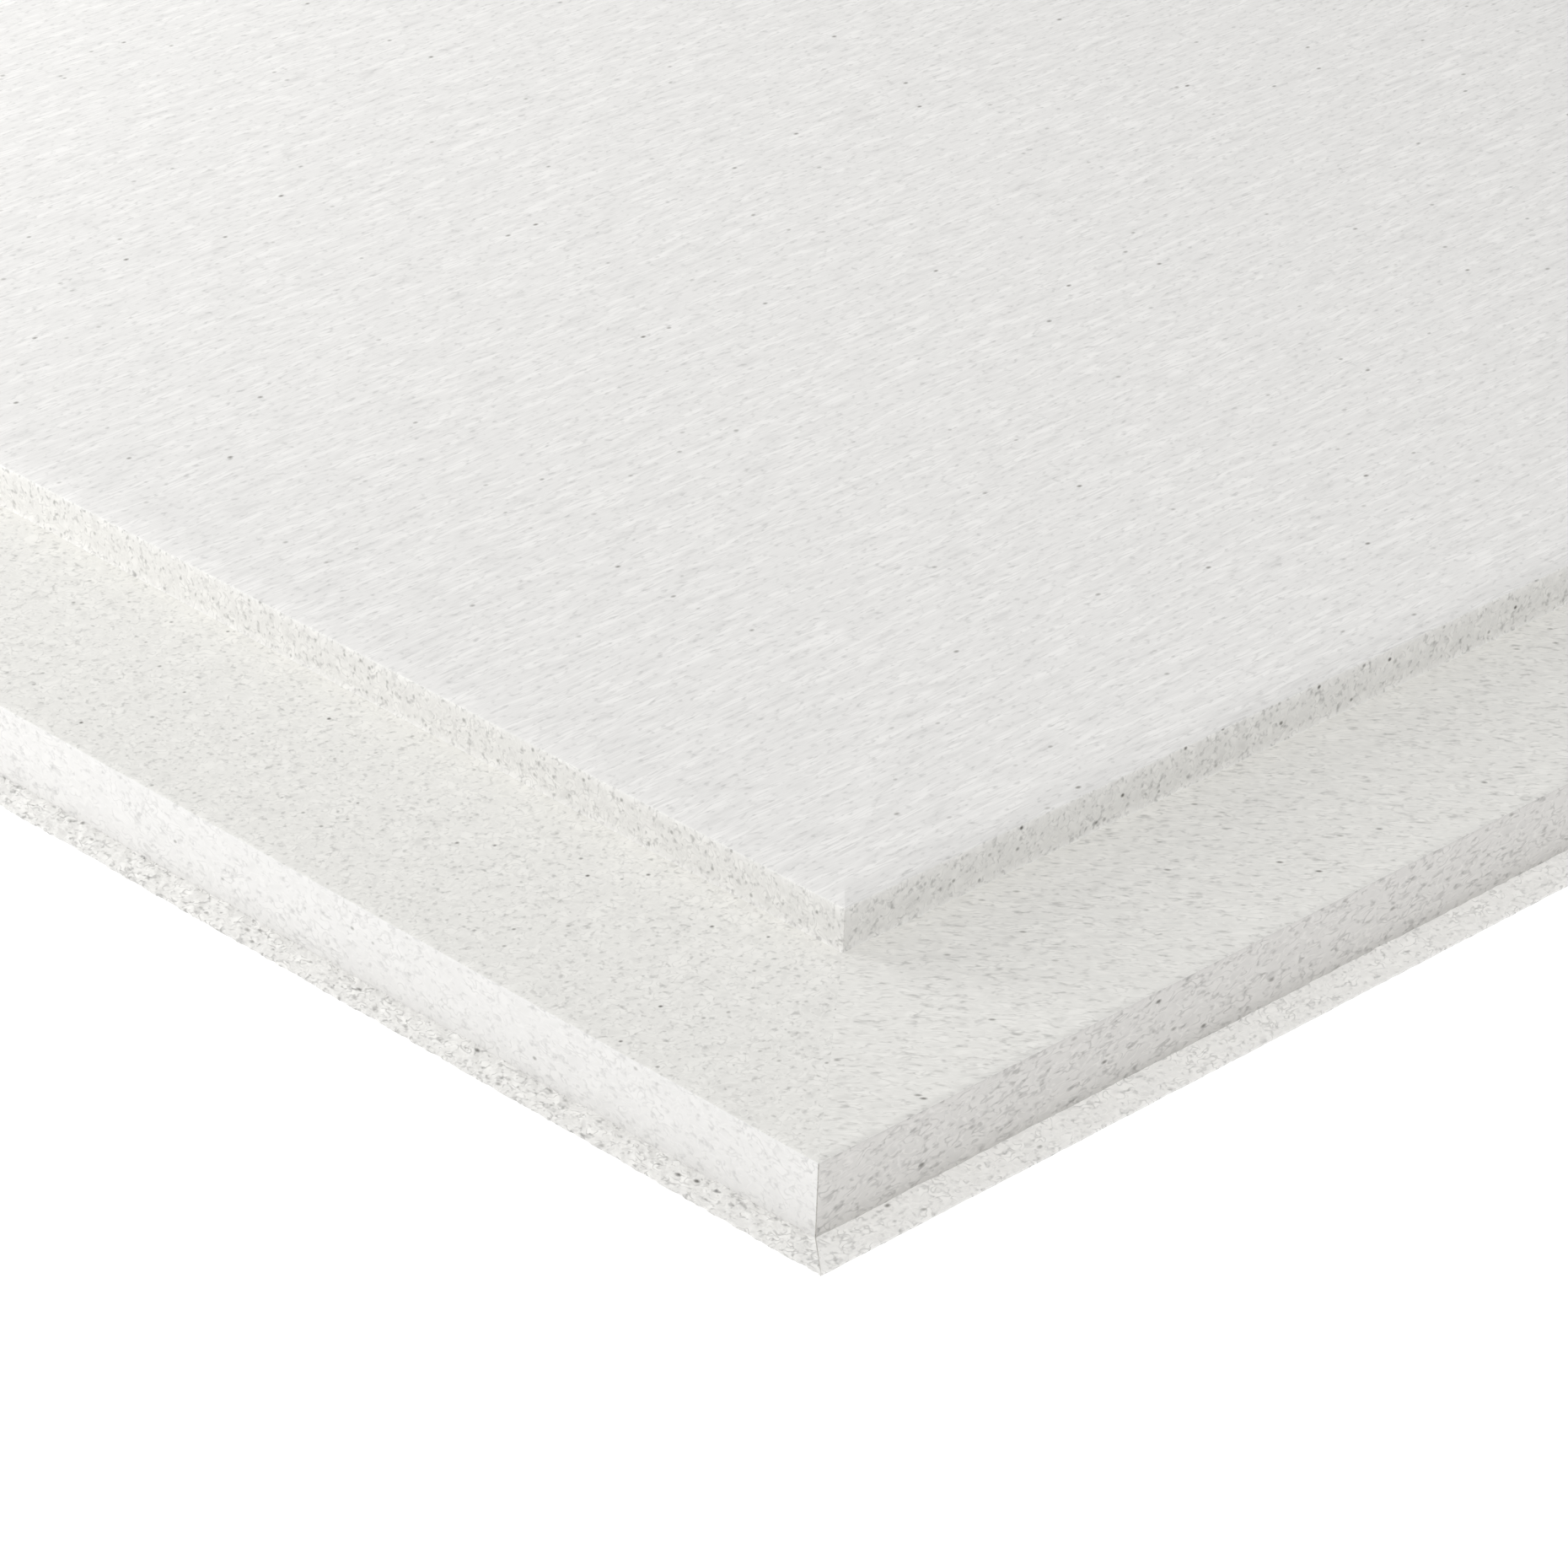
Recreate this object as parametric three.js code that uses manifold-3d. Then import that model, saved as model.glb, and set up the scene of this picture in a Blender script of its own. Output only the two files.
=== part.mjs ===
// Fibre gypsum floor board, one milled sheet, lying flat with its sanded face up.
// The near corner (-X, -Y) shows a stepped rebate on both of its sides. The two far sides
// carry the matching rebate in the underside, where the next board's shelf goes in.
// Millimetres, +Z up, origin at the centre of the bounding box, on the floor.

import * as THREE from 'three';
import { mergeVertices } from 'three/addons/utils/BufferGeometryUtils.js';
import Module from 'manifold-3d';

// Sanded face, the area that one board covers
const faceLength = 1200;
const faceWidth = 600;

// Heights
const boardThickness = 18;
const riserHeight = 6.25;    // step from the shelf up to the sanded face
const footHeight = 1.2;      // where the rough foot meets the sawn edge
const toeHeight = 0.4;       // blunt tip of the foot

// Widths, from a near side inwards: the end is the short side, the side the long one
const endFootReach = 4;      // how far the foot stands out from the sawn edge
const sideFootReach = 4.9;
const endShelfWidth = 37.3;  // sawn edge to riser
const sideShelfWidth = 32.7;

// The far sides' rebates take the next board's shelf and foot
const jointClearance = 0.5;

const shelfHeight = boardThickness - riserHeight;
const endReach = endFootReach + endShelfWidth;
const sideReach = sideFootReach + sideShelfWidth;
const overallLength = faceLength + endReach;
const overallWidth = faceWidth + sideReach;
const cutterOvershoot = 5;

const gypsumFibre = new THREE.MeshStandardMaterial({
  name: 'gypsum_fibre', color: 0xe4e2de, roughness: 0.93, metalness: 0,
});

const wasm = await Module();
wasm.setup();

// Turns a three.js geometry, merged at its corners, into a solid that can be cut
function toSolid(geometry) {
  const bare = geometry.clone();
  bare.deleteAttribute('normal');
  bare.deleteAttribute('uv');
  const closed = mergeVertices(bare);
  return new wasm.Manifold(new wasm.Mesh({
    numProp: 3,
    vertProperties: new Float32Array(closed.attributes.position.array),
    triVerts: new Uint32Array(closed.index.array),
  }));
}

// Turns a cut solid back into a three.js geometry
function toGeometry(solid) {
  const mesh = solid.getMesh();
  const geometry = new THREE.BufferGeometry();
  geometry.setAttribute('position', new THREE.BufferAttribute(new Float32Array(mesh.vertProperties), 3));
  geometry.setIndex(new THREE.BufferAttribute(new Uint32Array(mesh.triVerts), 1));
  geometry.computeVertexNormals();
  return geometry;
}

// A box given by its lowest and highest corners
function boxBetween(low, high) {
  const size = high.map((value, axis) => value - low[axis]);
  const box = new THREE.BoxGeometry(...size);
  box.translate(...low.map((value, axis) => value + size[axis] / 2));
  return box;
}

// What milling takes off a near side: all that lies outside the line that climbs the foot,
// the sawn edge, the shelf and the riser. The section is (inwards, up), and it runs on
// past both ends of the side.
function nearSideCutter(footReach, shelfWidth, sideLength) {
  const top = boardThickness + cutterOvershoot;
  const reach = footReach + shelfWidth;
  const section = new THREE.Shape();
  section.moveTo(-cutterOvershoot, toeHeight);
  section.lineTo(0, toeHeight);
  section.lineTo(footReach, footHeight);
  section.lineTo(footReach, shelfHeight);
  section.lineTo(reach, shelfHeight);
  section.lineTo(reach, top);
  section.lineTo(-cutterOvershoot, top);
  section.closePath();
  const cutter = new THREE.ExtrudeGeometry(section, {
    depth: sideLength + 2 * cutterOvershoot, bevelEnabled: false,
  });
  cutter.rotateX(Math.PI / 2);
  return cutter;
}

// The short near side, at low X
function endCutter() {
  const cutter = nearSideCutter(endFootReach, endShelfWidth, overallWidth);
  cutter.translate(0, overallWidth + cutterOvershoot, 0);
  return cutter;
}

// The long near side, at low Y
function sideCutter() {
  const cutter = nearSideCutter(sideFootReach, sideShelfWidth, overallLength);
  cutter.rotateZ(Math.PI / 2);
  cutter.translate(-cutterOvershoot, 0, 0);
  return cutter;
}

// The rebate under a far side, which leaves the overhang that laps the next board
function underCutter(lowX, lowY) {
  const low = [lowX, lowY, -cutterOvershoot];
  const high = [overallLength + cutterOvershoot, overallWidth + cutterOvershoot, shelfHeight];
  return boxBetween(low, high);
}

// Where a near side's rebate crosses a far side's, the two cut the corner right through
function cornerCutter(lowX, lowY, highX, highY) {
  return boxBetween([lowX, lowY, -cutterOvershoot], [highX, highY, boardThickness + cutterOvershoot]);
}

function makeBoard() {
  const blank = boxBetween([0, 0, 0], [overallLength, overallWidth, boardThickness]);
  const farX = overallLength - endReach - jointClearance;
  const farY = overallWidth - sideReach - jointClearance;
  const beyondX = overallLength + cutterOvershoot;
  const beyondY = overallWidth + cutterOvershoot;
  const cutters = [
    endCutter(),
    sideCutter(),
    underCutter(farX, -cutterOvershoot),
    underCutter(-cutterOvershoot, farY),
    cornerCutter(farX, -cutterOvershoot, beyondX, sideReach),
    cornerCutter(-cutterOvershoot, farY, endReach, beyondY),
  ];
  const board = cutters.reduce((solid, cutter) => solid.subtract(toSolid(cutter)), toSolid(blank));
  const geometry = toGeometry(board);
  geometry.translate(-overallLength / 2, -overallWidth / 2, 0);
  const mesh = new THREE.Mesh(geometry, gypsumFibre);
  mesh.name = 'fibre_gypsum_board';
  return mesh;
}

const part = new THREE.Group();
part.add(makeBoard());

export default part;
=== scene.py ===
import math
import bmesh
import bpy
import numpy as np
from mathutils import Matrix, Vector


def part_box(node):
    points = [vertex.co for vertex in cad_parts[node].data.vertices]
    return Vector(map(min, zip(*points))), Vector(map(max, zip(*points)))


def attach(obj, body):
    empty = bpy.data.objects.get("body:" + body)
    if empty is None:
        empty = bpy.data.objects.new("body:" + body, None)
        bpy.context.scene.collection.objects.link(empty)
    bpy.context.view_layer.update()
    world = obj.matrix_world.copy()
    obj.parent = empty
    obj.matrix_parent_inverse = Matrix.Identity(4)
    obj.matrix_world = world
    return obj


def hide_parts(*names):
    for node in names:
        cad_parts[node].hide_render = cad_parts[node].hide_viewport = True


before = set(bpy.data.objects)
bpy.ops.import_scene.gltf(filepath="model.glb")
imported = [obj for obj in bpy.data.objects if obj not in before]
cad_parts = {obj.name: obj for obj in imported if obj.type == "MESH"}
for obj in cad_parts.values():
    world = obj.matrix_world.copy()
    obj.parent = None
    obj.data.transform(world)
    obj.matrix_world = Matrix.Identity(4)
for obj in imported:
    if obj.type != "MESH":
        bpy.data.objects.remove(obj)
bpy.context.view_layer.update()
metres = 0.001  # one millimetre

# The board lies flat. Its near corner is at low X and low Y, where the stepped rebate shows.
board = {
    "node": "fibre_gypsum_board",
    "arrisLine": 0.11,     # mm of rubbed edge to each side of the near corner
    "fineStep": 0.36,      # mm between stations next to the near corner
    "fineLength": 165,     # mm of each near side that is laid that finely
    "coarseStep": 2.6,     # mm between stations on the rest of it
    "plainStep": 12,       # mm between stations on the far sides
    "notchSteps": 6,
    "footRows": 9,
    "edgeRows": 12,
    "shelfRows": 7,
    "riserRows": 6,
    "capInset": 5,         # mm from the face's rim to its cap
    "underShare": 1 / 60,  # the same on the underside, as a share of its half size
    "arrisRadius": 0.22,   # mm
    "arrisBend": 0.3,      # share of the radius that the middle of an arris is cut back
    "chipBendIn": 0.45,    # shares of a chip's depth: inwards at the middle of the arris,
    "chipBendDown": 0.35,  # down at its middle,
    "chipDown": 0.8,       # and down at its lower end
    "toeShare": 0.85,      # share of the toe's height that stands upright
    "footCurve": 1.15,     # power of the foot's slope: over 1 is hollow
    "footLowest": 0.15,    # mm
    "mergeDistance": 0.002,  # mm
    "sharpAngle": 48,      # degrees, past which an edge isn't shaded smooth
}

# The rebated section in mm: the end is the short near side, the side the long one
section = {
    "endFoot": 4, "sideFoot": 4.9, "endShelf": 37.3, "sideShelf": 32.7,
    "riserHeight": 6.25, "footHeight": 1.2, "toeHeight": 0.4, "jointClearance": 0.5,
}

# Grain of the wear along a near side, in mm. A chunk breaks out where the noise passes the limit.
grain = {
    "root": 4.2, "rough": 1.15, "wave": 7, "chunk": 5.5, "splinter": 0.9, "crumble": 1.3,
    "chunkLimit": 0.30,
}

# How the milling left each near side, in mm. The end is the left one in the picture.
endWear = {
    "toeBite": 0.16, "toeGrain": 1.1, "footRough": 0.13, "rootWander": 0.30, "edgeWave": 0.04,
    "shelfChip": 0.26, "faceChip": 0.18, "seed": 11,
}
sideWear = {
    "toeBite": 0.06, "toeGrain": 1.6, "footRough": 0.07, "rootWander": 0.22, "edgeWave": 0.03,
    "shelfChip": 0.10, "faceChip": 0.07, "seed": 47,
}


def report(stage):
    print("board:", stage, flush=True)


# Lattice of random numbers from -1 to 1: the whole numbers are mixed and cut to 16 bits
def latticeValue(ix, iy, iz, seed):
    mixed = (ix * 73856093) ^ (iy * 19349663) ^ (iz * 83492791) ^ (seed * 2654435761)
    mixed = ((mixed ^ (mixed >> 13)) * 1274126177) & 0xFFFFFFFF
    mixed = mixed ^ (mixed >> 15)
    return (mixed & 0xFFFF) / 32767.5 - 1


# Smooth noise from -1 to 1: the eight lattice values round a point, mixed by 3t^2 - 2t^3
def smoothNoise(points, size, seed):
    place = points / size
    base = np.floor(place)
    t = place - base
    t = t * t * (3 - 2 * t)
    cell = base.astype(np.int64)
    total = np.zeros(points.shape[:-1])
    for corner in range(8):
        step = np.array([corner & 1, corner >> 1 & 1, corner >> 2 & 1])
        weight = np.prod(np.where(step == 1, t, 1 - t), axis=-1)
        total += weight * latticeValue(*np.moveaxis(cell + step, -1, 0), seed)
    return total


# Noise whose grain halves and whose height falls by 0.55 with each octave
def roughNoise(points, size, seed, octaves=3):
    total = 0
    for octave in range(octaves):
        total = total + 0.55 ** octave * smoothNoise(points, size / 2 ** octave, seed + 101 * octave)
    return total


# Where the section's corners stand, in mm, worked out from the node's box in the frame
def sectionLevels(node):
    low, high = (np.array(corner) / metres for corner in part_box(node))
    edgeX, edgeY = low[0] + section["endFoot"], low[1] + section["sideFoot"]
    riserX, riserY = edgeX + section["endShelf"], edgeY + section["sideShelf"]
    return {
        "toeX": low[0], "edgeX": edgeX, "riserX": riserX, "maxX": high[0],
        "farX": high[0] - (riserX - low[0]) - section["jointClearance"],
        "toeY": low[1], "edgeY": edgeY, "riserY": riserY, "maxY": high[1],
        "farY": high[1] - (riserY - low[1]) - section["jointClearance"],
        "toeZ": section["toeHeight"], "rootZ": section["footHeight"],
        "shelfZ": high[2] - section["riserHeight"], "faceZ": high[2],
    }


# Shares of a near side, from the near corner on: fine steps first, then coarse ones
def gradedShares(length):
    fine = np.arange(board["arrisLine"], board["fineLength"], board["fineStep"])
    count = math.ceil((length - board["fineLength"]) / board["coarseStep"])
    coarse = np.linspace(board["fineLength"], length, count + 1)
    return np.concatenate([[0], fine, coarse]) / length


# The outline as stations round the board, anticlockwise. Each has a point on the lower slab's
# outline, one on the upper slab's, and the foot's reach. The two outlines cross where the
# rebates of a near and a far side meet, so each run of stations is straight on both.
def layStations(at):
    crossEnd = (at["riserX"], at["farY"])
    crossSide = (at["farX"], at["riserY"])
    lowNorthWest, lowSouthWest = (at["edgeX"], at["farY"]), (at["edgeX"], at["edgeY"])
    lowSouthEast, lowNorthEast = (at["farX"], at["edgeY"]), (at["farX"], at["farY"])
    upSouthWest, upSouthEast = (at["riserX"], at["riserY"]), (at["maxX"], at["riserY"])
    upNorthEast, upNorthWest = (at["maxX"], at["maxY"]), (at["riserX"], at["maxY"])
    none = (0, 0)
    endFoot = (at["toeX"] - at["edgeX"], 0)
    sideFoot = (0, at["toeY"] - at["edgeY"])
    cornerFoot = (endFoot[0], sideFoot[1])
    notch = np.linspace(0, 1, board["notchSteps"] + 1)
    endShares = 1 - gradedShares(at["farY"] - at["edgeY"])[::-1]
    sideShares = gradedShares(at["farX"] - at["edgeX"])
    plainEnd = np.linspace(0, 1, round((at["maxY"] - at["riserY"]) / board["plainStep"]))
    plainSide = np.linspace(0, 1, round((at["maxX"] - at["riserX"]) / board["plainStep"]))
    runs = [
        (crossEnd, lowNorthWest, crossEnd, crossEnd, none, endFoot, notch),
        (lowNorthWest, lowSouthWest, crossEnd, upSouthWest, endFoot, cornerFoot, endShares),
        (lowSouthWest, lowSouthEast, upSouthWest, crossSide, cornerFoot, sideFoot, sideShares),
        (lowSouthEast, crossSide, crossSide, crossSide, sideFoot, none, notch),
        (crossSide, crossSide, crossSide, upSouthEast, none, none, notch),
        (crossSide, lowNorthEast, upSouthEast, upNorthEast, none, none, plainEnd),
        (lowNorthEast, crossEnd, upNorthEast, upNorthWest, none, none, plainSide),
        (crossEnd, crossEnd, upNorthWest, crossEnd, none, none, notch),
    ]
    lower, upper, foot, run = [], [], [], []
    for index, (lowA, lowB, upA, upB, footA, footB, shares) in enumerate(runs):
        s = shares[:-1, None]  # the next run starts with this one's last station
        lower.append(np.array(lowA) * (1 - s) + np.array(lowB) * s)
        upper.append(np.array(upA) * (1 - s) + np.array(upB) * s)
        foot.append(np.array(footA) * (1 - s) + np.array(footB) * s)
        run.append(np.full(len(s), index))
    return np.concatenate(lower), np.concatenate(upper), np.concatenate(foot), np.concatenate(run)


# Where the wear of each near side counts: 1 on the stations of that side, and at its corners
def sideWeights(points, x, y):
    onEnd = np.isclose(points[:, 0], x).astype(float)
    onSide = np.isclose(points[:, 1], y).astype(float)
    return onEnd, onSide


# A wear value of both near sides at each station, and its inward push as a vector
def inward(amountEnd, amountSide, weights):
    return np.stack([amountEnd * weights[0], amountSide * weights[1]], axis=-1)


# Chips along an arris: the part of a long-grained noise that rises over a threshold, with a fine
# crumble added, so that most of the arris stays whole
def chips(points, wear, depth, salt):
    seed = wear["seed"] + salt
    chunks = np.clip(smoothNoise(points, grain["chunk"], seed) - grain["chunkLimit"], 0, 1) * 1.3
    crumble = np.clip(roughNoise(points, grain["crumble"], seed + 5), 0, 1) * 0.55
    splinters = 0.6 + 0.4 * smoothNoise(points, grain["splinter"], seed + 9)
    return depth * (chunks * splinters + crumble)


def spread(points, z):
    return np.concatenate([points, np.full((len(points), 1), float(z))], axis=1)


# The whole board as rings of stations, from the underside up to the sanded face:
# underside, toe, foot's slope, sawn edge, shelf arris, shelf, riser, face arris, face
def boardRings(at, lower, upper, foot):
    lowWeights = sideWeights(lower, at["edgeX"], at["edgeY"])
    upWeights = sideWeights(upper, at["riserX"], at["riserY"])
    lowCentre = np.array([at["edgeX"] + at["farX"], at["edgeY"] + at["farY"]]) / 2
    upCentre = np.array([at["riserX"] + at["maxX"], at["riserY"] + at["maxY"]]) / 2
    upHalf = np.array([at["maxX"] - at["riserX"], at["maxY"] - at["riserY"]]) / 2
    across = upper - lower
    span = np.linalg.norm(across, axis=1, keepdims=True)
    alongShelf = across / np.maximum(span, 1e-6)
    radius = board["arrisRadius"]
    rings, bands = [], []

    def addRing(points, z, band):
        height = np.broadcast_to(z, len(points))[:, None]
        rings.append(np.concatenate([points, height], axis=1))
        bands.append(band)

    def wearAt(points, z, name, salt, size):
        flat = spread(points, z)
        pair = []
        for wear in (endWear, sideWear):
            pair.append(wear[name] * roughNoise(flat, size, wear["seed"] + salt))
        return pair

    # toe: the outline is bitten inwards, by 0 to 2 times toeBite, never outwards
    toe = lower + foot
    bites = []
    for wear in (endWear, sideWear):
        bite = roughNoise(spread(toe, 0), wear["toeGrain"], wear["seed"] + 1, 4)
        bites.append(wear["toeBite"] * np.clip(0.55 + bite, 0, 2))
    toePull = inward(*bites, lowWeights)
    reach = foot + toePull
    outer = lower + reach
    addRing(lowCentre + (outer - lowCentre) * (1 - board["underShare"]), 0, "under")
    addRing(outer, 0, "under")
    addRing(outer, at["toeZ"] * board["toeShare"], "foot")

    # foot: a rough slope from the toe's tip to the root, which wanders along the edge
    wander = wearAt(lower, at["rootZ"], "rootWander", 2, grain["root"])
    rootShift = wander[0] * lowWeights[0] + wander[1] * (1 - lowWeights[0]) * lowWeights[1]
    rootZ = at["rootZ"] + np.abs(rootShift)
    for row in range(1, board["footRows"] + 1):
        share = row / board["footRows"]
        points = lower + reach * (1 - share)
        rough = wearAt(points, 0.5, "footRough", 3, grain["rough"])
        bump = rough[0] * lowWeights[0] + rough[1] * (1 - lowWeights[0]) * lowWeights[1]
        slope = (rootZ - at["toeZ"]) * share ** board["footCurve"]
        z = at["toeZ"] + slope + bump * math.sin(math.pi * share) ** 0.5
        addRing(points, np.clip(z, board["footLowest"], None), "foot")

    # sawn edge, up to where the shelf's arris starts
    shelfArris = spread(lower, at["shelfZ"])
    chipLow = [chips(shelfArris, wear, wear["shelfChip"], 4) for wear in (endWear, sideWear)]
    chipDepth = np.maximum(chipLow[0] * lowWeights[0], chipLow[1] * lowWeights[1])
    topOfEdge = at["shelfZ"] - radius - board["chipDown"] * chipDepth
    for row in range(1, board["edgeRows"] + 1):
        share = row / board["edgeRows"]
        z = rootZ + (topOfEdge - rootZ) * share
        wave = wearAt(lower, at["rootZ"] + 10 * share, "edgeWave", 6, grain["wave"])
        addRing(lower + inward(np.abs(wave[0]), np.abs(wave[1]), lowWeights), z, "edge")
    edgeLine = rings[-1][:, :2]

    # shelf arris, the shelf to the riser's foot, and the riser
    bend = board["arrisBend"] * radius
    addRing(edgeLine + alongShelf * (bend + board["chipBendIn"] * chipDepth[:, None]),
            at["shelfZ"] - bend - board["chipBendDown"] * chipDepth, "edge")
    addRing(edgeLine + alongShelf * (radius + chipDepth[:, None]), at["shelfZ"], "shelf")
    for row in range(1, board["shelfRows"] + 1):
        share = 0.5 - 0.5 * math.cos(math.pi * row / (board["shelfRows"] + 1))
        addRing(lower + across * share, at["shelfZ"], "shelf")
    addRing(upper - alongShelf * radius, at["shelfZ"], "shelf")
    faceArris = spread(upper, at["faceZ"])
    chipUp = [chips(faceArris, wear, wear["faceChip"], 8) for wear in (endWear, sideWear)]
    chipTop = np.maximum(chipUp[0] * upWeights[0], chipUp[1] * upWeights[1])
    topOfRiser = at["faceZ"] - radius - board["chipDown"] * chipTop
    for row in range(board["riserRows"] + 1):
        share = row / board["riserRows"]
        z = at["shelfZ"] + radius + (topOfRiser - at["shelfZ"] - radius) * share
        addRing(upper, z, "riser")

    # face arris and the rim of the sanded face
    def faceInset(amount):
        return upCentre + (upper - upCentre) * (1 - amount / upHalf)

    addRing(faceInset((bend + board["chipBendIn"] * chipTop)[:, None]),
            at["faceZ"] - bend - board["chipBendDown"] * chipTop, "riser")
    addRing(faceInset((radius + chipTop)[:, None]), at["faceZ"], "face")
    addRing(faceInset(board["capInset"]), at["faceZ"], "face")
    return np.array(rings), bands


# Which material a quad wears, from the band of its upper ring and its run of stations
def finishOf(band, run):
    nearEnd, nearSide = run == 1, run == 2
    atCorner = np.roll(nearSide, -1) != nearSide
    atCorner[nearSide] = ~np.roll(nearSide, 1)[nearSide]
    if band == "foot":
        return np.select([atCorner & (run <= 2), nearEnd, nearSide],
                         ["rubbedArris", "crumbledFoot", "brokenFoot"], "milledRiser")
    if band == "edge":
        return np.select([atCorner & (run <= 2), nearEnd, nearSide],
                         ["rubbedArris", "sawnEnd", "sawnSide"], "milledRiser")
    if band == "shelf":
        return np.select([run <= 1, run <= 3], ["milledShelf", "raggedShelf"], "milledRiser")
    if band == "riser":
        return np.select([run <= 2], ["milledRiser"], "sawnSide")
    return np.full(run.shape, {"face": "sandedFace", "under": "pressedBack"}[band])


# Closes the rings into one skin: quads between neighbouring rings, and a cap at each end
def makeBoard(materials):
    at = sectionLevels(board["node"])
    lower, upper, foot, run = layStations(at)
    rings, bands = boardRings(at, lower, upper, foot)
    low, high = (np.array(corner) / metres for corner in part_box(board["node"]))
    rings = np.clip(rings, low, high) * metres
    ringCount, stationCount = rings.shape[:2]
    index = np.arange(ringCount * stationCount).reshape(ringCount, stationCount)
    turned = np.roll(index, -1, axis=1)
    quads = np.stack([index[:-1], turned[:-1], turned[1:], index[1:]], axis=-1).reshape(-1, 4)
    names = list(materials)
    slots = np.concatenate([
        [names.index(name) for name in finishOf(band, run)] for band in bands[1:]
    ])
    mesh = bpy.data.meshes.new("gypsum_board")
    mesh.from_pydata(rings.reshape(-1, 3).tolist(), [], quads.tolist())
    mesh.polygons.foreach_set("material_index", slots.astype(np.int32))
    for material in materials.values():
        mesh.materials.append(material)

    skin = bmesh.new()
    skin.from_mesh(mesh)
    bmesh.ops.remove_doubles(skin, verts=skin.verts, dist=board["mergeDistance"] * metres)
    rims = [edge for edge in skin.edges if edge.is_boundary]
    caps = bmesh.ops.holes_fill(skin, edges=rims, sides=0)["faces"]
    bmesh.ops.recalc_face_normals(skin, faces=skin.faces)
    for cap in caps:
        isFace = cap.calc_center_median().z > 0.5 * high[2] * metres
        cap.material_index = names.index("sandedFace" if isFace else "pressedBack")
    for face in skin.faces:
        face.smooth = True
    skin.to_mesh(mesh)
    skin.free()
    mesh.set_sharp_from_angle(angle=math.radians(board["sharpAngle"]))
    mesh.validate()
    piece = bpy.data.objects.new("gypsum_board", mesh)
    bpy.context.scene.collection.objects.link(piece)
    report(f"skin of {len(mesh.polygons)} faces, {len(caps)} caps")
    return piece


# sRGB hex to the linear colour that a shader takes
def linear(hexColour):
    channels = [int(hexColour[place:place + 2], 16) / 255 for place in (1, 3, 5)]
    return [c / 12.92 if c <= 0.04045 else ((c + 0.055) / 1.055) ** 2.4 for c in channels] + [1]


# Adds a node. A setting's name is a property of the node or one of its sockets.
def addNode(tree, kind, settings=None, links=None):
    node = tree.nodes.new(kind)
    for name, value in (settings or {}).items():
        if isinstance(name, str) and hasattr(node, name):
            setattr(node, name, value)
        else:
            node.inputs[name].default_value = value
    for name, source in (links or {}).items():
        tree.links.new(source, node.inputs[name])
    return node


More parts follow.
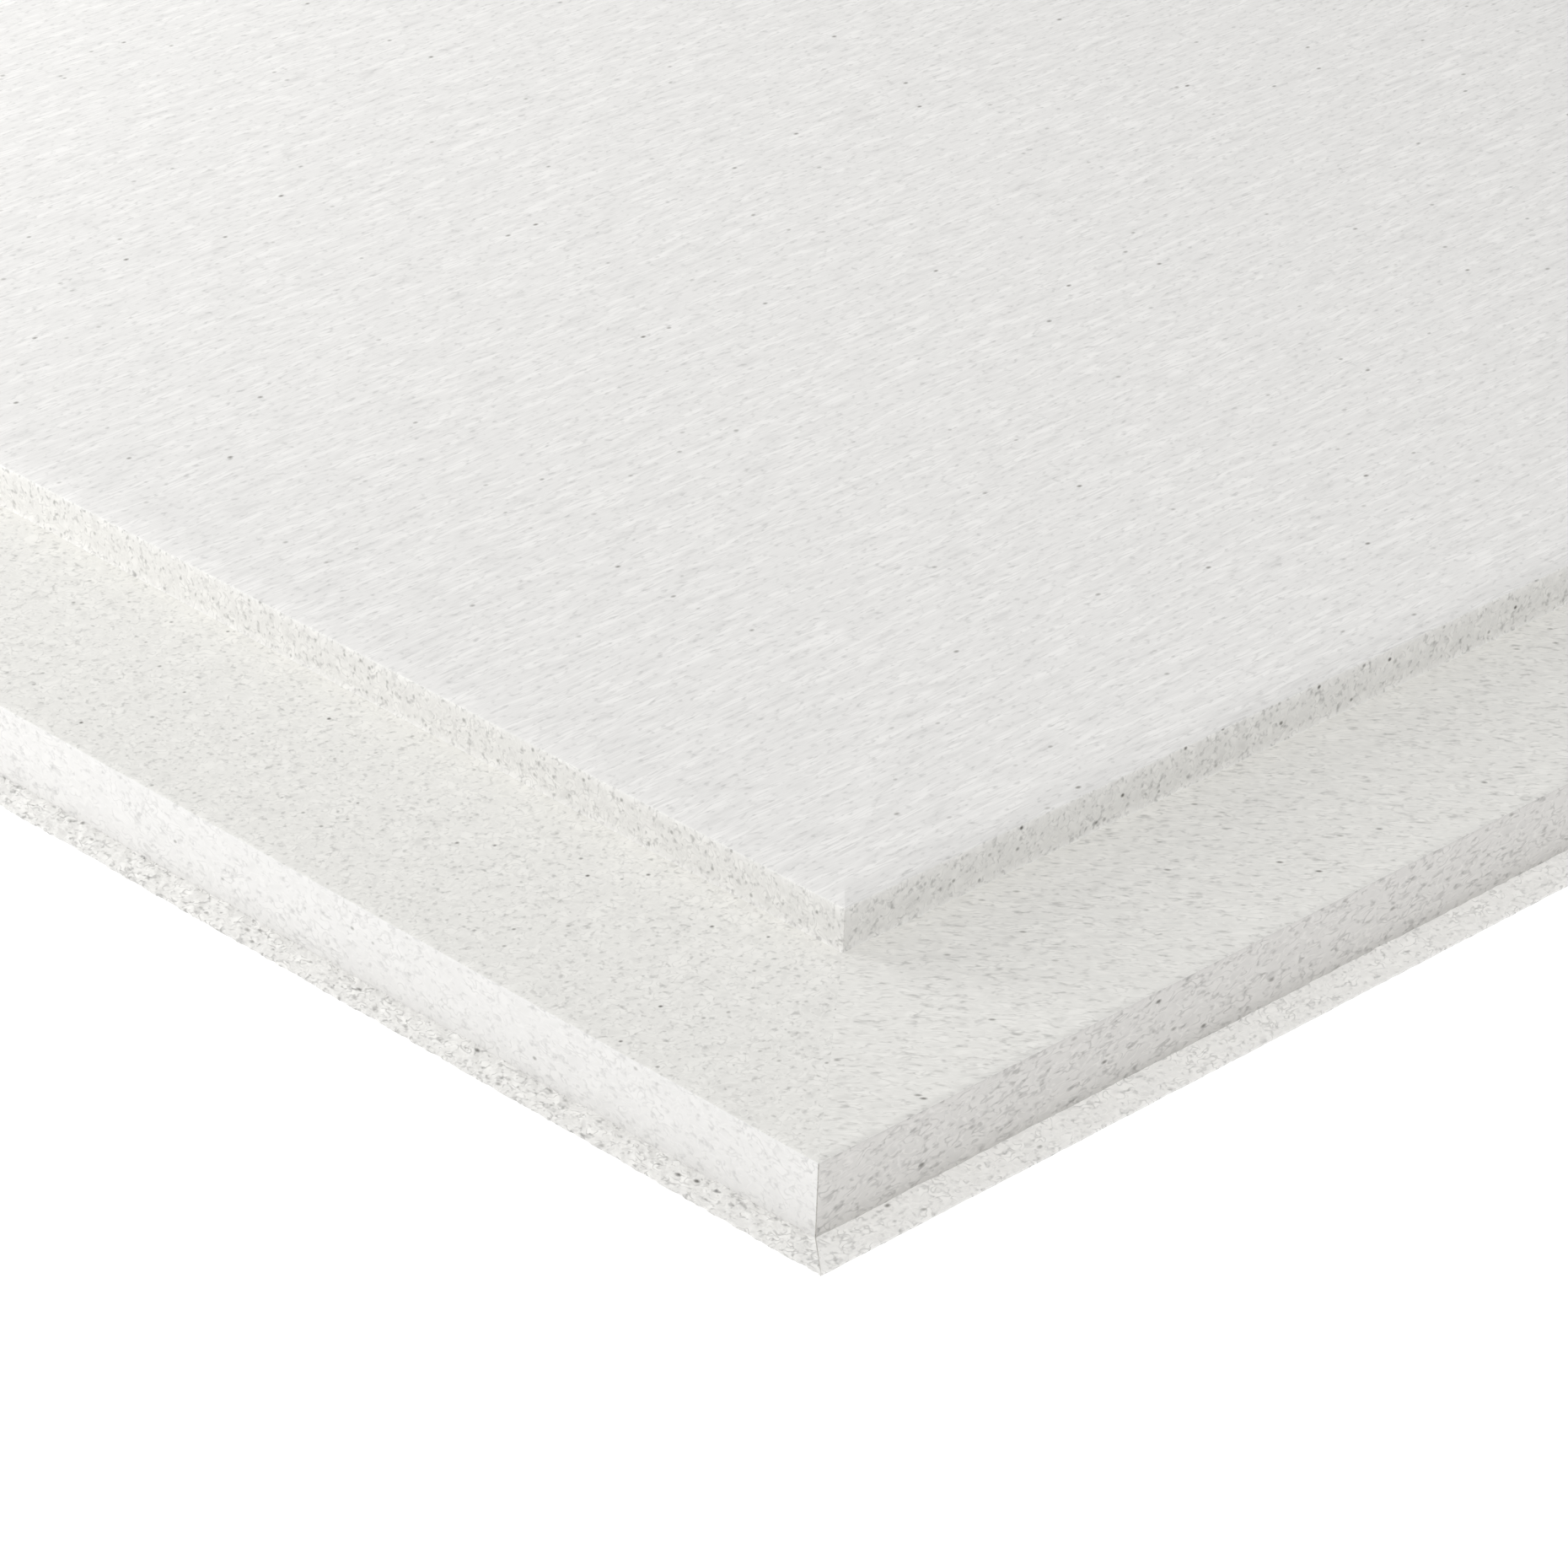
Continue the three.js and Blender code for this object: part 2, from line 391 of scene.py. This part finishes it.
# Fibre gypsum: plaster with pulped paper, pressed to a board. Grey-white, dead matt, with
# flecks of darker pulp and print through the whole core. Lengths are in mm.
# turn: degrees from +X to the way the tool ran. mottle: (size, stretch along the tool's way,
# depth). strokes: (size, stretch, width as a share of the noise's range, darkening, lightening).
# flecks: (size, stretch, darkening). specks: (spacing, stretch, radius as a share of the spacing,
# share of them that show, strength, colour). darkBands: (height where it is strongest, height where
# it ends, darkening); at the foot of a sawn edge such a band is painted shade.
finishes = {
    # belt-sanded face: fine broken lines along the board, pulp showing where it is cut open
    "sandedFace": {
        "base": "#e7e6e4", "turn": 1.2, "roughness": 0.86, "relief": 0.012,
        "mottle": (1.4, 5.5, 0.11), "strokes": (0.7, 10, 0.12, 0.16, 0.06),
        "flecks": (0.75, 2.0, 0.26), "specks": (3.6, 1.5, 0.11, 0.7, 0.8, "#6b6861"), "darkBands": [],
    },
    # milled riser: open core
    "milledRiser": {
        "base": "#edece9", "turn": 0, "roughness": 0.94, "relief": 0.05,
        "mottle": (1.9, 1.1, 0.10), "strokes": (1.2, 1.1, 0.09, 0.20, 0.10),
        "flecks": (0.90, 1.1, 0.46), "specks": (2.0, 1.2, 0.19, 0.8, 0.9, "#4f4c46"), "darkBands": [],
    },
    # shelf of the end: open core, specks and short curled fibres lying all ways
    "milledShelf": {
        "base": "#e5e4e0", "turn": 0, "roughness": 0.94, "relief": 0.04,
        "mottle": (2.2, 1.1, 0.09), "strokes": (1.3, 1.1, 0.10, 0.15, 0.10),
        "flecks": (0.85, 1.1, 0.38), "specks": (2.6, 1.2, 0.13, 0.8, 0.9, "#4f4c46"), "darkBands": [],
    },
    # shelf of the long side: the cutter dragged the fibres slantwise
    "raggedShelf": {
        "base": "#e6e5e1", "turn": -45, "roughness": 0.94, "relief": 0.05,
        "mottle": (2.0, 1.5, 0.09), "strokes": (0.9, 3.0, 0.10, 0.18, 0.10),
        "flecks": (0.75, 2.0, 0.36), "specks": (2.6, 1.8, 0.13, 0.7, 0.8, "#57544e"), "darkBands": [],
    },
    # sawn short edge: closed by fine dust, so whiter and smoother, with a thin band of painted shade
    # just above its foot
    "sawnEnd": {
        "base": "#ebeae8", "turn": 90, "roughness": 0.90, "relief": 0.02,
        "mottle": (1.8, 1.5, 0.045), "strokes": (1.1, 1.5, 0.09, 0.16, 0.06),
        "flecks": (0.78, 1.4, 0.25), "specks": (3.0, 1.4, 0.11, 0.7, 0.7, "#6b6861"),
        # painted shade where the sawn end meets its foot
        "darkBands": [(1.2, 1.6, 0.06)],
    },
    # sawn long edge: fibres cut along the board, so greyer, with painted shade above its foot and a
    # darker band just under its arris
    "sawnSide": {
        "base": "#dddbd8", "turn": 0, "roughness": 0.93, "relief": 0.05,
        "mottle": (1.6, 1.8, 0.07), "strokes": (1.0, 2.2, 0.09, 0.26, 0.14),
        "flecks": (0.75, 2.0, 0.44), "specks": (2.3, 2.0, 0.15, 0.7, 0.8, "#4f4c46"),
        # painted shade from the foot's root up to 3.2 mm, and a band that is darker just under the shelf
        # arris
        "darkBands": [(1.2, 3.2, 0.10), (11.7, 11.2, 0.09)],
    },
    # foot of the end: broken rather than cut, crumbs and open pits
    "crumbledFoot": {
        "base": "#e6e5e2", "turn": 90, "roughness": 0.96, "relief": 0.07,
        "mottle": (1.3, 1.4, 0.12), "strokes": (1.0, 1.4, 0.10, 0.36, 0.12),
        "flecks": (0.75, 1.3, 0.60), "specks": (1.9, 1.6, 0.20, 0.7, 0.85, "#403d38"), "darkBands": [],
    },
    # foot of the long side: broken with a closed, softly speckled skin
    "brokenFoot": {
        "base": "#f1f0ed", "turn": 0, "roughness": 0.95, "relief": 0.04,
        "mottle": (1.7, 1.2, 0.08), "strokes": (1.1, 1.3, 0.09, 0.30, 0.10),
        "flecks": (0.80, 1.3, 0.38), "specks": (2.8, 1.5, 0.13, 0.7, 0.75, "#57544e"), "darkBands": [],
    },
    # upright near arris, rubbed in handling: a thin dirty line
    "rubbedArris": {
        "base": "#bfbdb8", "turn": 90, "roughness": 0.93, "relief": 0.02,
        "mottle": (1.2, 1, 0.12), "strokes": (1.0, 1, 0.09, 0.2, 0.1),
        "flecks": (0.60, 1, 0.50), "specks": (2.6, 1.2, 0.2, 0.6, 0.6, "#57544e"), "darkBands": [],
    },
    # underside: pressed against a belt, closed and plain
    "pressedBack": {
        "base": "#e0dfdc", "turn": 0, "roughness": 0.88, "relief": 0.03,
        "mottle": (6, 1, 0.06), "strokes": (3, 1, 0.05, 0.08, 0.04),
        "flecks": (0.9, 1, 0.25), "specks": (3.4, 1.4, 0.12, 0.7, 0.6, "#6b6861"), "darkBands": [],
    },
}


# What all the finishes share: the spans of the noises' values, which lie about 0.5, that give
# the clouds, the flecks and the strokes' tint, how far clouds go each way as shares of their
# depth, and the full middle of a speck as a share of its radius
plaster = {
    "specular": 0.2, "cloudSpan": (0.25, 0.62), "cloudDark": 1.2, "cloudLight": 0.5,
    "fleckSpan": (0.56, 0.82), "tintSpan": (0.40, 0.60), "speckMiddle": 0.35,
}


def gypsumMaterial(name, look):
    material = bpy.data.materials.new(name)
    material.use_nodes = True
    tree = material.node_tree
    shader = tree.nodes["Principled BSDF"]
    shader.inputs["Roughness"].default_value = look["roughness"]
    shader.inputs["Specular IOR Level"].default_value = plaster["specular"]
    place = addNode(tree, "ShaderNodeTexCoord").outputs["Object"]
    layers = ("mottle", "strokes", "flecks", "specks")
    along = {layer: addNode(tree, "ShaderNodeMapping", {
        "vector_type": "TEXTURE", "Rotation": (0, 0, math.radians(look["turn"])),
        "Scale": (look[layer][1] * metres, metres, metres),
    }, {"Vector": place}).outputs["Vector"] for layer in layers}

    # mottle: soft clouds, more often a little lighter than the base and now and then darker
    size, _, depth = look["mottle"]
    cloudLow, cloudHigh = plaster["cloudSpan"]
    clouds = addNode(tree, "ShaderNodeTexNoise", {
        "Scale": 1 / size, "Detail": 1.5, "Roughness": 0.6,
    }, {"Vector": along["mottle"]}).outputs["Fac"]
    factors = [addNode(tree, "ShaderNodeMapRange", {
        "From Min": cloudLow, "From Max": cloudHigh,
        "To Min": 1 - plaster["cloudDark"] * depth, "To Max": 1 + plaster["cloudLight"] * depth,
    }, {"Value": clouds}).outputs["Result"]]

    # flecks: dark ragged grains where a fine noise is high
    size, _, darkening = look["flecks"]
    fleckLow, fleckHigh = plaster["fleckSpan"]
    grains = addNode(tree, "ShaderNodeTexNoise", {
        "Scale": 1 / size, "Detail": 1.5, "Roughness": 0.6, "Distortion": 0.3,
    }, {"Vector": along["flecks"]}).outputs["Fac"]
    factors.append(addNode(tree, "ShaderNodeMapRange", {
        "From Min": fleckLow, "From Max": fleckHigh, "To Min": 1, "To Max": 1 - darkening,
    }, {"Value": grains}).outputs["Result"])

    # strokes: curled threads along the middle level of a distorted noise, dark where the clouds
    # run high and light where they run low, so that each is broken into short pieces
    size, _, width, darkening, lightening = look["strokes"]
    tintLow, tintHigh = plaster["tintSpan"]
    curls = addNode(tree, "ShaderNodeTexNoise", {
        "Scale": 1 / size, "Detail": 0, "Distortion": 0.8,
    }, {"Vector": along["strokes"]}).outputs["Fac"]
    away = addNode(tree, "ShaderNodeMath", {
        "operation": "SUBTRACT", 1: 0.5,
    }, {0: curls}).outputs["Value"]
    level = addNode(tree, "ShaderNodeMath", {"operation": "ABSOLUTE"}, {0: away}).outputs["Value"]
    thread = addNode(tree, "ShaderNodeMapRange", {
        "From Min": 0, "From Max": width, "To Min": 1, "To Max": 0,
    }, {"Value": level}).outputs["Result"]
    tint = addNode(tree, "ShaderNodeMapRange", {
        "From Min": tintLow, "From Max": tintHigh, "To Min": lightening, "To Max": -darkening,
    }, {"Value": clouds}).outputs["Result"]
    factors.append(addNode(tree, "ShaderNodeMath", {
        "operation": "MULTIPLY_ADD", 2: 1,
    }, {0: thread, 1: tint}).outputs["Value"])

    # darkBands: darkening that follows the height on the edge; above the foot it is painted shade, under
    # the shelf arris just darker
    height = addNode(tree, "ShaderNodeSeparateXYZ", {}, {"Vector": place}).outputs["Z"]
    for strongest, end, darkening in look["darkBands"]:
        factors.append(addNode(tree, "ShaderNodeMapRange", {
            "From Min": strongest * metres, "From Max": end * metres,
            "To Min": 1 - darkening, "To Max": 1,
        }, {"Value": height}).outputs["Result"])

    brightness = factors[0]
    for factor in factors[1:]:
        brightness = addNode(tree, "ShaderNodeMath", {"operation": "MULTIPLY"},
                             {0: brightness, 1: factor}).outputs["Value"]
    shade = addNode(tree, "ShaderNodeMix", {
        "data_type": "RGBA", "blend_type": "MULTIPLY", 0: 1, 6: linear(look["base"]),
    }, {7: brightness}).outputs[2]

    # specks: round cells of a Voronoi pattern, some of which show
    spacing, _, radius, shown, strength, colour = look["specks"]
    cells = addNode(tree, "ShaderNodeTexVoronoi", {
        "Scale": 1 / spacing,
    }, {"Vector": along["specks"]})
    spot = addNode(tree, "ShaderNodeMapRange", {
        "From Min": plaster["speckMiddle"] * radius, "From Max": radius,
        "To Min": strength, "To Max": 0,
    }, {"Value": cells.outputs["Distance"]}).outputs["Result"]
    chance = addNode(tree, "ShaderNodeSeparateColor", {}, {
        "Color": cells.outputs["Color"],
    }).outputs["Red"]
    chosen = addNode(tree, "ShaderNodeMapRange", {
        "From Min": 1 - shown, "From Max": 1, "To Min": 0, "To Max": 1,
    }, {"Value": chance}).outputs["Result"]
    mask = addNode(tree, "ShaderNodeMath", {
        "operation": "MULTIPLY",
    }, {0: spot, 1: chosen}).outputs["Value"]
    shade = addNode(tree, "ShaderNodeMix", {
        "data_type": "RGBA", 7: linear(colour),
    }, {0: mask, 6: shade}).outputs[2]

    relief = addNode(tree, "ShaderNodeBump", {
        "Strength": 1, "Distance": look["relief"] * metres,
    }, {"Height": grains})
    tree.links.new(shade, shader.inputs["Base Color"])
    tree.links.new(relief.outputs["Normal"], shader.inputs["Normal"])
    return material


# Places and sizes in metres, the floor's gap in mm.
# Light table, lit mostly from inside, so that it prints as white right up to the board, under an
# even white sky. The large softbox stands low on the left, a small one hangs near the board's
# far left part, and the fill hangs over the near corner: the face falls off towards that corner.
studio = {
    "floorSize": 8, "floorGap": 0.1, "floorColour": "#a8a8a8", "floorGlow": 0.78, "skyStrength": 0.60,
    "aim": (-0.5, -0.15, 0),
    "lamps": {
        "left_softbox": {"at": (-0.9, 0.5, 0.12), "size": (0.3, 0.22), "watts": 3.3},
        "near_softbox": {"at": (-0.6, 0.3, 0.2), "size": (0.3, 0.3), "watts": 0.9},
        "fill_softbox": {"at": (-0.70, -0.75, 1.5), "size": (0.6, 0.6), "watts": 7.3},
    },
}


def makeStudio():
    half = studio["floorSize"] / 2
    mesh = bpy.data.meshes.new("studio_floor")
    level = -studio["floorGap"] * metres
    corners = [(-half, -half, level), (half, -half, level), (half, half, level), (-half, half, level)]
    mesh.from_pydata(corners, [], [(0, 1, 2, 3)])
    floor = bpy.data.objects.new("studio_floor", mesh)
    bpy.context.scene.collection.objects.link(floor)
    paint = bpy.data.materials.new("white_acrylic_light_table")
    paint.use_nodes = True
    shader = paint.node_tree.nodes["Principled BSDF"]
    shader.inputs["Base Color"].default_value = linear(studio["floorColour"])
    shader.inputs["Roughness"].default_value = 0.9
    shader.inputs["Specular IOR Level"].default_value = 0.1
    shader.inputs["Emission Color"].default_value = (1, 1, 1, 1)
    shader.inputs["Emission Strength"].default_value = studio["floorGlow"]
    mesh.materials.append(paint)
    world = bpy.data.worlds.new("studio_sky")
    world.use_nodes = True
    sky = world.node_tree.nodes["Background"]
    sky.inputs["Color"].default_value = (1, 1, 1, 1)
    sky.inputs["Strength"].default_value = studio["skyStrength"]
    bpy.context.scene.world = world
    for name, lamp in studio["lamps"].items():
        light = bpy.data.lights.new(name, "AREA")
        light.shape = "RECTANGLE"
        light.size, light.size_y = lamp["size"]
        light.energy = lamp["watts"]
        softbox = bpy.data.objects.new(name, light)
        softbox.location = lamp["at"]
        softbox.visible_camera = False
        aim = np.array(studio["aim"]) - np.array(lamp["at"])
        softbox.rotation_euler = Vector(aim).to_track_quat("-Z", "Y").to_euler()
        bpy.context.scene.collection.objects.link(softbox)
    bpy.context.scene.view_settings.view_transform = "Standard"
    report("studio")


# The picture's viewpoint, fitted to ten edge lines of the board, in degrees, metres and pixels of
# the picture: the near corner's lowest point shows at cornerPixel, at that distance from a long lens
view = {
    "imageSize": 1860, "focalPixels": 8080.7, "heading": 43.83, "elevation": 28.946, "roll": 2.284,
    "cornerPixel": (973.5, 1514.4), "distance": 0.8033, "sensor": 36,
}


def makeCamera(at):
    heading, elevation, roll = (math.radians(view[name]) for name in ("heading", "elevation", "roll"))
    forward = np.array([math.cos(elevation) * math.cos(heading), math.cos(elevation) * math.sin(heading),
                        -math.sin(elevation)])
    levelRight = np.array([math.sin(heading), -math.cos(heading), 0])
    levelUp = np.cross(levelRight, forward)
    right = levelRight * math.cos(roll) + levelUp * math.sin(roll)
    up = -levelRight * math.sin(roll) + levelUp * math.cos(roll)
    corner = np.array([at["toeX"], at["toeY"], 0]) * metres
    centre = view["imageSize"] / 2
    aside = (view["cornerPixel"][0] - centre) / view["focalPixels"] * view["distance"]
    above = -(view["cornerPixel"][1] - centre) / view["focalPixels"] * view["distance"]
    place = corner - aside * right - above * up - view["distance"] * forward
    lens = bpy.data.cameras.new("long_lens")
    lens.sensor_width = view["sensor"]
    lens.lens = view["focalPixels"] * view["sensor"] / view["imageSize"]
    lens.clip_start = 0.01
    camera = bpy.data.objects.new("long_lens", lens)
    turn = np.eye(4)
    turn[:3, 0], turn[:3, 1], turn[:3, 2], turn[:3, 3] = right, up, -forward, place
    camera.matrix_world = Matrix(turn.tolist())
    bpy.context.scene.collection.objects.link(camera)
    bpy.context.scene.camera = camera
    report("camera")


makeCamera(sectionLevels(board["node"]))
makeStudio()
materials = {name: gypsumMaterial("fibre_gypsum_" + name, look) for name, look in finishes.items()}
boardPiece = makeBoard(materials)
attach(boardPiece, "root")
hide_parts(board["node"])
